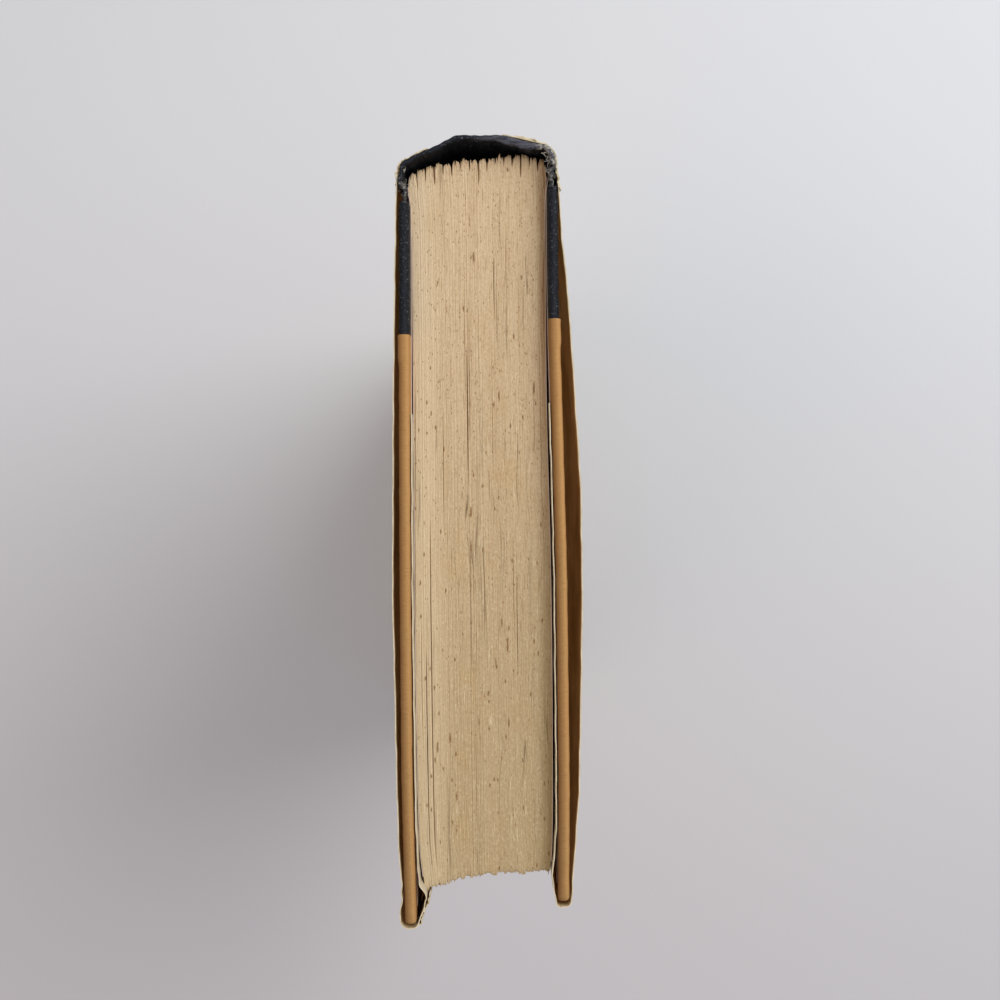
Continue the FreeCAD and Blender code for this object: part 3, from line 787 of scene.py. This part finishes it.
for name, side in sides.items():
    fly_y = np.concatenate([np.linspace(68.2, 60.0, 14), np.linspace(57, spine_base - page_depth + 1.0, 48)])
    fly_y = fly_y + side * lean / 2
    fly_line = np.stack([side * (page_side(fly_y, side) + 0.03), fly_y], axis=1)
    fly_head = page_head + 0.05 + 0.15 * wander(fly_y, 9.0, 1.0, 31 + side)
    flyleaf = sheet_piece(
        name + "_free_endpaper", fly_line, page_foot + 0.1, fly_head, side * flyleaf_thickness, [endpaper]
    )
    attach(flyleaf, "block")
    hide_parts(name + "_flyleaf")

    over_board = np.linspace(board_fore_along[name] + endpaper_margin, board_spine_along - 0.4, 10)
    corners = [(pastedown_out, along, 20.0, 6.0) for along in over_board[:-1]]
    corners += [
        (pastedown_out, over_board[-1], 3.0, 0.25),
        (pastedown_out + 0.50, board_spine_along + 1.9, 2.5, 0.25),
        (pastedown_out + 0.55, shoulder_along + 0.6, 0, 0.3),
    ]
    pasted = sheet_piece(
        name + "_pasted_endpaper", cover_line(name, corners), endpaper_margin, book_height - endpaper_margin,
        -side * pastedown_thickness, [endpaper],
    )
    start = bend_place(name, pastedown_out, shoulder_along + 0.6)
    end = bend_place(name, pastedown_out, board_spine_along - 0.4)
    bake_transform(pasted)
    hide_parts(name + "_pastedown", name + "_mull")
print(f"endpapers: {flyleaf_thickness} mm thick, pasted {endpaper_margin:.0f} mm inside the board's edges")

# %% [markdown]
# ## Boards in cloth and paper
#
# Seen from the head, each cover is a bar two and a half millimetres thick with soft edges: black cloth near
# the spine, then tan paper that laps over the cloth and ends in a small rounded lip. A rounded section is
# drawn once and swept along the board. It shrinks towards the fore-edge to round that end, and its outside
# swells at the lip, while its inside stays flat, so that nothing comes through the endpaper pasted over it.

# %% A soft-edged bar swept along the board
def covered_section(inside, outside, low, high, radius, corner_steps=6, side_steps=22):
    """Points round an upright section of the covered board, as (out, height)."""
    centres = ((outside - radius, high - radius, 0), (inside + radius, high - radius, 90),
               (inside + radius, low + radius, 180), (outside - radius, low + radius, 270))
    section = []
    for index, (out, height, first) in enumerate(centres):
        for angle in np.radians(np.linspace(first, first + 90, corner_steps + 1)):
            section.append((out + radius * math.cos(angle), height + radius * math.sin(angle)))
        if index in (1, 3):
            end = section[-1]
            stop = low + radius if index == 1 else high - radius
            spread = (np.linspace(0, 0.1, 8), np.linspace(0.1, 0.9, side_steps), np.linspace(0.9, 1, 8))
            for share in np.concatenate(spread)[1:-1]:
                section.append((end[0], end[1] + (stop - end[1]) * share))
    return np.array(section)


def swept_cover(name, piece_name, stations, material, roughen, seed):
    """A covering swept along the cover; each station is (along, grow, corner drop, edge radius).

    A covering only thickens outwards, because its inside lies flat under the pasted endpaper.
    """
    side, inside, outside = sides[name], board_inside - cloth_thickness, cloth_outside
    rings = []
    for along, grow, drop, radius in stations:
        shrunk = min(grow, 0.0)
        low = drop - shrunk
        section = covered_section(inside - shrunk, outside + grow, low, book_height - low, radius)
        uneven = np.sin(along * 1.3 + section[:, 1] * 0.21 + seed) * np.sin(along * 0.37 + seed)
        uneven += 0.5 * np.sin(along * 4.1 + section[:, 1] * 0.5)
        section[:, 0] += roughen * uneven * np.sign(section[:, 0] - (inside + outside) / 2)
        rings.append([(*from_cover(name, out, along), height) for out, height in section])
    rings = np.array(rings)
    faces = tube_faces(*rings.shape[:2])
    if side > 0:
        faces = [face[::-1] for face in faces]
    return mesh_piece(piece_name, rings.reshape(-1, 3), faces, [material])


def rounded_end(at, away, radius, corner, grow, edge):
    """Stations that round off an end of the board; away is +1 where the board goes on to the spine side."""
    stations = []
    for angle in np.radians(np.linspace(4, 90, 9)):
        inset = radius * (1 - math.sin(angle))
        distance = radius * (1 - math.cos(angle))
        drop = inset + corner - math.sqrt(max(0.0, corner**2 - (corner - min(corner, distance)) ** 2))
        edge_now = max(0.12, min(edge, edge - inset * 0.9))
        stations.append((at + away * distance, grow - inset, min(drop, 1.2), edge_now))
    return stations


edge_round = 1.05
for name, side in sides.items():
    fore_along = board_fore_along[name]
    paper = rounded_end(fore_along - siding_thickness, 1, 1.15, 1.6, 0.0, edge_round)
    paper += [(along, 0.0, 0.0, edge_round) for along in np.linspace(fore_along + 1.4, siding_along - 7, 60)]
    lap = siding_thickness
    lips = (
        (-5.6, 0.25 * lap), (-4.6, 0.9 * lap), (-3.4, lap), (-1.2, lap), (-0.45, 1.15 * lap),
        (-0.2, 1.15 * lap), (-0.08, 0.95 * lap), (0.0, 0.45 * lap), (0.0, -0.35),
    )
    paper += [(siding_along + along, grow, 0.0, edge_round) for along, grow in lips]
    siding = swept_cover(name, name + "_paper_siding", paper, siding_paper, 0.035, 3.0 + side)
    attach(siding, name + "_cover")
    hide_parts(name + "_siding")

    under_lap = [(along, -0.12, 0.1, edge_round) for along in (siding_along - 4.8, siding_along - 0.6)]
    shown = np.linspace(siding_along - 0.2, board_spine_along - 1.4, 40)
    cloth = under_lap + [(along, -cloth_sunk, cloth_sunk, edge_round) for along in shown]
    spine_end = rounded_end(board_spine_along + cloth_thickness, -1, 1.0, 0.01, 0.0, edge_round)[::-1]
    cloth += [(along, grow - cloth_sunk, drop + cloth_sunk, edge) for along, grow, drop, edge in spine_end]
    cloth_bar = swept_cover(name, name + "_board_cloth", cloth, book_cloth, 0.085, 7.0 + side)
    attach(cloth_bar, name + "_cover")
    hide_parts(name + "_cloth")

    core = [(along, -0.5, 0.6, 0.05) for along in np.linspace(fore_along + 1.4, board_spine_along - 1.2, 40)]
    grey = swept_cover(name, name + "_pulp_board", core, grey_board, 0.0, 0.0)
    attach(grey, name + "_cover")
    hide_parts(name + "_board")
print(f"covers: boards {board_width} mm wide, {cloth_shown} mm of cloth on each")

# %% [markdown]
# ## The spine of the case and its joints
#
# The case's spine is cloth over a strip of card, folded in over the head and the tail, so its edge is a
# soft roll about a millimetre thick. It arches over the pages and touches nothing between its two
# shoulders. Each joint is the same cloth, free of board; it is pleated and rubbed pale at the head.

# %% The arch of the spine
shoulder_out = {"front": case_half_width, "back": case_half_width - back_shoulder_in}
arch_corners = {
    "back shoulder": (15.20, 74.42, 2.9),
    "right of the top": (4.6, 77.05, 14.0),
    "left of the top": (-4.2, 77.05, 3.2),
    "front shoulder": (-15.55, 71.75, 2.0),
}


def arch(offset, step):
    """The corners of the case's outside from the back hinge line to the front one, moved out by an offset."""
    back, front = hinge_y["back"], hinge_y["front"]
    line = [(shoulder_out["back"] + offset, back - 0.1, 0, 0.3)]
    for x, y, radius in arch_corners.values():
        line.append((x + math.copysign(offset, x) * min(1, abs(x) / 9), y + offset, radius + offset, step))
    line[-1] = (*line[-1][:3], 0.3)
    return line + [(-shoulder_out["front"] - offset, front - 0.1, 0, 0.3)]


def case_inner_share(line, z):
    """The card shows inside between the turn-ins; at the head the fold is flattened wide by the back."""
    inside = (z > turn_in) & (z < book_height - turn_in)
    x = line[:, 0][:, None]
    flattened = np.exp(-((x - 7.5) / 4.5) ** 2) * np.clip((z - (book_height - 5)) / 5, 0, 1)
    uneven = 0.12 * np.sin(1.3 * x + 0.4) + 0.07 * np.sin(3.7 * x)
    return np.where(inside, 0.12, 1.0 + (0.75 * flattened + uneven) * (z > book_height - turn_in))


def case_ripple(line, z):
    """The cloth isn't flat over the card: it dips where it is pinched and rolls at the head."""
    x = line[:, 0][:, None]
    near_head = np.clip((z - (book_height - 12)) / 12, 0, 1) ** 2
    ripple = 0.10 * np.sin(0.9 * x + 0.02 * z) * np.sin(0.13 * z)
    return ripple + near_head * (0.10 * np.sin(0.75 * x + 1.1) + 0.05 * np.sin(3.1 * x))


spine_line = rounded_line(arch(-0.02, 0.5))
case = sheet_piece(
    "cloth_spine", spine_line, case_thickness / 2, book_height - case_thickness / 2, case_thickness,
    [head_cap_cloth], case_ripple, rounding=8, thickness_at=case_inner_share,
)
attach(case, "block")
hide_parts("spine_cloth")

card_line = rounded_line(arch(-0.30, 0.8))[4:-4]
card = sheet_piece(
    "spine_card_strip", card_line, card_short, book_height - card_short, card_thickness, [spine_card]
)
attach(card, "block")
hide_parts("spine_inlay")

# %% The two joints
def joint_rucks(line, z):
    """Short pleats across the joint, deepest at the head."""
    y = line[:, 1][:, None]
    near_head = np.clip((z - (book_height - 9)) / 9, 0, 1)
    shallow = 0.08 * np.sin(2.6 * y + 0.05 * z) + 0.05 * np.sin(0.4 * z)
    return shallow + near_head * 0.16 * np.sin(4.3 * y + 0.9 * z)


def joint_share(line, z):
    """The joint is two layers of cloth, and at the head a bunched third."""
    y = line[:, 1][:, None]
    near_head = np.clip((z - (book_height - 4)) / 4, 0, 1)
    return 1.0 + near_head * (0.55 + 0.35 * np.sin(2.1 * y + 0.7) + 0.2 * np.sin(5.3 * y))


for name, side in sides.items():
    joint_floor = case_half_width - 0.95
    corners = [
        (shoulder_out[name] - 0.04, 0.5, 0, 0.12),
        (shoulder_out[name] - 0.04, -0.5, 0.7, 0.12),
        (joint_floor, -2.3, 0.9, 0.12),
        (joint_floor + 0.1, board_spine_along - 0.7, 0, 0.3),
    ]
    joint = sheet_piece(
        name + "_cloth_joint", cover_line(name, corners), joint_thickness / 2,
        book_height - joint_thickness / 2, -side * joint_thickness, [book_cloth, book_cloth, worn_cloth],
        joint_rucks, rounding=6, thickness_at=joint_share, rim_material=2,
    )
    start = bend_place(name, case_half_width, 0.5)
    end = bend_place(name, case_half_width, board_spine_along + 0.3)
    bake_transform(joint)
print(f"case: {line_length(spine_line):.1f} mm of cloth over the spine")

# %% [markdown]
# ## The dust jacket
#
# The jacket is one long sheet, wrapped from flap to flap. Nothing glues it down, so it bows away from the
# boards, most of all at the back, and its flaps are tucked between board and pages with a kink where they
# round the corner of the fore-edge. It is built as two halves that meet near the middle of the spine. The
# head edge is where it is hurt: a piece is gone over the spine, and the corners are frayed into layers.

# %% The line of the jacket at the head, its outer face
chip_left, chip_right, chip_depth = -9.9, 4.8, 6.5
jacket_over = {
    "front": [
        (-16.30, 65.4, 3), (-16.75, 50, 40), (-17.30, 25, 60), (-17.60, 3, 60), (-17.86, -13, 20),
        (-17.62, -31, 25), (-17.46, -50, 40), (-17.20, -63, 9), (-16.60, -72.4, 2.0), (-17.05, -76.2, 3.0),
        (-17.05, -79.05, 1.9), (-13.6, -79.0, 1.5), (-12.7, -76.2, 2.0), (-11.55, -72.9, 0.8),
        (-12.85, -70.4, 1.0), (-13.30, -66.9, 2.5), (-13.60, -56.0, 30), (-13.77, -14.0, 60),
        (-13.52, 22.5, 0),
    ],
    "back": [
        (16.05, 65.0, 3), (16.55, 56, 8), (17.45, 47, 12), (18.42, 31, 40), (19.15, 17, 20), (19.66, 7.5, 12),
        (19.72, -13, 30), (19.30, -31, 40), (18.62, -53, 20), (17.35, -68.0, 6), (16.85, -74.95, 1.4),
        (13.85, -74.95, 0.9), (12.85, -68.6, 0.9), (13.38, -65.5, 2.0), (13.85, -59.5, 6), (13.97, -50.0, 20),
        (14.00, -10.0, 40), (13.72, 10.5, 20), (13.42, 24.3, 0),
    ],
}


def torn_head(x, y):
    """How far below its cut height the jacket's head edge is at a place on plan."""
    drop = 0.10 * (1 + wander(y, 5.0, 1.0, 41)) + 0.06 * (1 + wander(x * 3 + y, 1.1, 1.0, 42))
    on_spine = y > hinge_middle + 1.0
    share = np.clip((x - chip_left) / (chip_right - chip_left), 0, 1)
    chip = chip_depth * np.clip(np.sin(np.pi * share), 0, 1) ** 0.45 * (1 + 0.18 * wander(x, 1.3, 1.0, 43))
    chip = np.where((share > 0) & (share < 1), chip, 0)
    corner_wear = 0.6 * np.exp(-((np.abs(x) - 14.5) / 1.6) ** 2) * (1 + wander(x + y, 0.5, 0.8, 44))
    return drop + np.where(on_spine, chip + corner_wear, 0)


def jacket_push(name):
    """The jacket isn't flat: shallow waves over the boards, and a crumpled fold by the front fore-edge."""
    side = sides[name]

    def push(line, z):
        y = line[:, 1][:, None]
        below_head = np.clip((book_height - z) / 60.0, 0, 1)
        wave = 0.22 * np.sin(0.045 * y + 0.02 * z) * np.sin(0.03 * z + side) * below_head
        wave = wave * np.clip((hinge_middle - 6 - y) / 12, 0, 1) * np.clip((y + 62) / 10, 0, 1)
        wave = wave * np.where(np.abs(line[:, 0][:, None]) < case_half_width - 0.5, 0.2, 1.0)
        ripple = 0.04 * np.sin(0.55 * y + 0.11 * z) + 0.03 * np.sin(1.3 * y)
        crumple = 0.13 * np.sin(1.9 * y + 0.35 * z) * np.exp(-((y + 72.5) / 4.0) ** 2)
        fade = np.clip((hinge_middle - 4 - y) / 6, 0, 1)
        return side * (wave + ripple * fade + crumple * (1.0 if name == "front" else 0.4))

    return push


def build_jacket(name):
    """One half of the jacket, from its seam on the spine to the end of its flap."""
    side = sides[name]
    whole_arch = rounded_line(arch(jacket_gap + jacket_thickness, 0.4))
    seam = int(np.argmin(np.abs(whole_arch[:, 0] + 2.5)))
    half = whole_arch[:seam + 1][::-1] if side > 0 else whole_arch[seam:]
    keep = len(half) - 4
    along_cover = [(x, y, radius, 0.5 if y < -60 or y > 55 else 3.0) for x, y, radius in jacket_over[name]]
    rest = rounded_line([(*half[keep - 1], 0, 0.25)] + along_cover)
    line = np.concatenate([half[:keep], rest[1:]])
    x, y = line[:, 0], line[:, 1]
    high = book_height - jacket_short - torn_head(x, y)
    low = jacket_short + 0.1 * (1 + wander(y, 6.0, 1.0, 51))
    jacket = sheet_piece(
        name + "_dust_jacket", line, low, high, -side * jacket_thickness,
        [jacket_outside, jacket_inside, jacket_edge], jacket_push(name),
    )
    start = bend_place(name, case_half_width, bend_from)
    end = bend_place(name, case_half_width, bend_to)
    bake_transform(jacket)
    print(f"{name} half of the jacket: {line_length(line):.0f} mm long when flat")
    return jacket


for name in sides:
    half_jacket = build_jacket(name)
    if name == "front":
        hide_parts("jacket_front", "jacket_spine")
    else:
        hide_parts("jacket_back")

# %% [markdown]
# ## Torn paper and loose fibres
#
# Paper tears in layers, and cloth wears through to pale starch and threads. Small pieces say this best: a
# ply that has come off each of the jacket's corners, a second layer in the crumpled fold of the front flap,
# and short threads on both joints. Each thread is a thin tube along a line that bends at random, from a
# seeded start.

# %% Three torn plies of the jacket
plies_over_a_joint = ("back_corner_ply", "front_corner_ply")
torn_plies = {
    "back_corner_ply": ("back", 9.0, -0.30, 0.1, [
        (7.2, 77.02, 0, 0.25), (10.9, 76.30, 3.0, 0.25), (13.35, 75.55, 1.5, 0.25), (14.85, 74.0, 1.2, 0.25),
        (15.50, 71.4, 2.0, 0.25), (15.98, 67.9, 2.0, 0.25), (16.25, 66.2, 0, 0.25),
    ]),
    "front_corner_ply": ("front", 6.0, 0.34, 0.1, [
        (-10.2, 74.55, 0, 0.25), (-13.7, 72.85, 1.0, 0.25), (-15.75, 71.55, 1.0, 0.25),
        (-16.25, 69.6, 1.0, 0.25), (-16.22, 67.6, 0, 0.25),
    ]),
    "front_flap_ply": ("front", 14.0, 0.20, 0.5, [
        (-14.0, -78.75, 0, 0.3), (-12.75, -78.0, 0.6, 0.3), (-12.15, -75.6, 1.0, 0.3),
        (-11.35, -74.0, 0.5, 0.3), (-11.0, -72.7, 0, 0.3),
    ]),
}


def ply_crumple(line, z):
    """A torn ply is crumpled all over."""
    y = line[:, 1][:, None]
    return 0.10 * np.sin(3.1 * y + 0.8 * z) + 0.08 * np.sin(6.3 * y - 1.7 * z)


for piece_name, (name, depth, thickness, below, corners) in torn_plies.items():
    line = rounded_line(corners)
    along = np.arange(len(line)) * 0.3
    high = book_height - jacket_short + 0.3 - below - 0.3 * (1 + wander(along, 0.8, 1.0, 61))
    low = book_height - depth + 2.0 * wander(along, 1.2, 1.0, 62)
    body = name + "_cover"
    ply_faces = [jacket_outside, jacket_edge, jacket_edge]
    ply = sheet_piece(piece_name, line, low, high, thickness, ply_faces, ply_crumple)
    if piece_name in plies_over_a_joint:
        start = bend_place(name, case_half_width, bend_from)
        end = bend_place(name, case_half_width, bend_to)
        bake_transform(ply)
    else:
        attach(ply, body)
print("torn plies:", *torn_plies)

# %% Threads at the joints
def thread_faces(count, around, start):
    """Faces of a tube of rings, with its first vertex at a start index."""
    return [[start + v for v in face] for face in tube_faces(count, around)]


def make_threads():
    """Short cotton threads that stand up where the cloth of the joints has worn through."""
    draw = np.random.default_rng(23)
    material, place = new_material("bared_cotton_threads")
    tone = noise(material, place, 0.8, 3.0)
    colour = mixed(material, ramp(material, tone, 0.3, 0.7), "#c9c2b2", "#6d6a66")
    finish_surface(material, colour, 0.9, tone, 0.02, 0.2)
    vertices, faces = [], []
    threads_at_root, thread_sides, ring_spacing = 12, 5, 0.24
    roots = [(-14.75, 69.5, 1.5), (-14.4, 67.0, 1.2), (13.7, 73.0, 0.8), (14.2, 71.2, 1.2), (14.5, 69.4, 1.2)]
    for x, y, spread in roots:
        for _ in range(threads_at_root):
            point = np.array([x + draw.normal(0, 0.3), y + draw.uniform(-spread, spread), book_height - 0.6])
            heading = draw.uniform(0, 2 * math.pi)
            rise = draw.uniform(0.1, 0.5)
            radius = draw.uniform(0.035, 0.07)
            rings = draw.integers(4, 7)
            start = len(vertices)
            for ring in range(rings):
                step = np.array([math.cos(heading), math.sin(heading), rise])
                side_way = np.array([-math.sin(heading), math.cos(heading), 0])
                for k in range(thread_sides):
                    angle = 2 * math.pi * k / thread_sides
                    offset = side_way * math.cos(angle) + np.array([0, 0, 1]) * math.sin(angle)
                    vertices.append(point + radius * offset)
                point = point + ring_spacing * step
                heading += draw.normal(0, 0.3)
                rise = max(-0.4, min(0.5, rise + draw.normal(0, 0.2)))
                if point[2] > book_height - 0.12:
                    rise = -0.2
            faces += thread_faces(int(rings), thread_sides, start)
    return mesh_piece("bared_threads", np.array(vertices), faces, [material])


threads = make_threads()
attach(threads, "block")
print("bared threads:", len(threads.data.vertices), "vertices")

# %% [markdown]
# ## Floor, light and camera
#
# The book stands on a plain pale floor, far below its head, so its own shadow is a soft shape to the left,
# and painted shade darkens the floor towards the bottom of the view.
# A broad lamp from the upper right lights it, and a weak warm lamp from the left and an even pale sky fill
# the rest. The camera hangs 190 mm above the head and looks straight down, as the photograph does, which is
# why the far tail hides behind the head.

# %% Floor
floor_material, floor_place = new_material("pale_painted_floor")
floor_tone = noise(floor_material, floor_place, 0.004, 2.0)
floor_colour = mixed(floor_material, floor_tone, "#d6d7d8", "#d0d2d4")
floor_y = add(floor_material, "SeparateXYZ", {0: floor_place}).outputs[1]
# painted shade: the floor darkens towards the bottom of the view, for the light falling off there
floor_colour = mixed(floor_material, ramp(floor_material, floor_y, 180.0, -220.0), floor_colour, "#c3c1c2")
finish_surface(floor_material, floor_colour, 0.9, None, 0.0, 0.2)
reach = 3000.0
floor = mesh_piece(
    "floor", [(-reach, -reach, 0), (reach, -reach, 0), (reach, reach, 0), (-reach, reach, 0)], [(0, 1, 2, 3)],
    [floor_material],
)
print(f"floor: {2 * reach / 1000:.0f} m square")

# %% Light
world = bpy.data.worlds.new("pale_sky")
bpy.context.scene.world = world
world.use_nodes = True
sky = world.node_tree.nodes["Background"]
sky.inputs["Color"].default_value = linear("#edf2ff")
sky.inputs["Strength"].default_value = 0.55


def area_lamp(name, place, size, watts, colour):
    """A square lamp at a place in millimetres, turned towards the upper part of the book."""
    lamp = bpy.data.lights.new(name, "AREA")
    lamp.size, lamp.energy, lamp.color = size * MM, watts, linear(colour)[:3]
    holder = bpy.data.objects.new(name, lamp)
    bpy.context.scene.collection.objects.link(holder)
    holder.location = Vector(place) * MM
    aim = Vector((0, 0, 180)) * MM - holder.location
    holder.rotation_euler = aim.to_track_quat("-Z", "Y").to_euler()


area_lamp("window", place=(820, 560, 850), size=1000, watts=14.0, colour="#fffdfb")
area_lamp("fill", place=(-800, -350, 900), size=1000, watts=3.2, colour="#ffd9b0")
print("lamps:", len(bpy.data.lights), "and a sky of strength", round(sky.inputs["Strength"].default_value, 2))

# %% Camera
frame_width = 196.0
camera_height = 190.0
camera_x, camera_y = 3.6, 5.3
roll = math.radians(0.65)
camera_data = bpy.data.cameras.new("camera")
camera_data.sensor_width = 36.0
camera_data.lens = camera_data.sensor_width * camera_height / frame_width
camera = bpy.data.objects.new("camera", camera_data)
bpy.context.scene.collection.objects.link(camera)
camera.location = Vector((camera_x, camera_y, book_height + camera_height)) * MM
camera.rotation_euler = (0, 0, -roll)
bpy.context.scene.camera = camera
bpy.context.scene.view_settings.view_transform = "Standard"
print("camera", tuple(round(value, 4) for value in camera.location), "lens", round(camera_data.lens, 1))
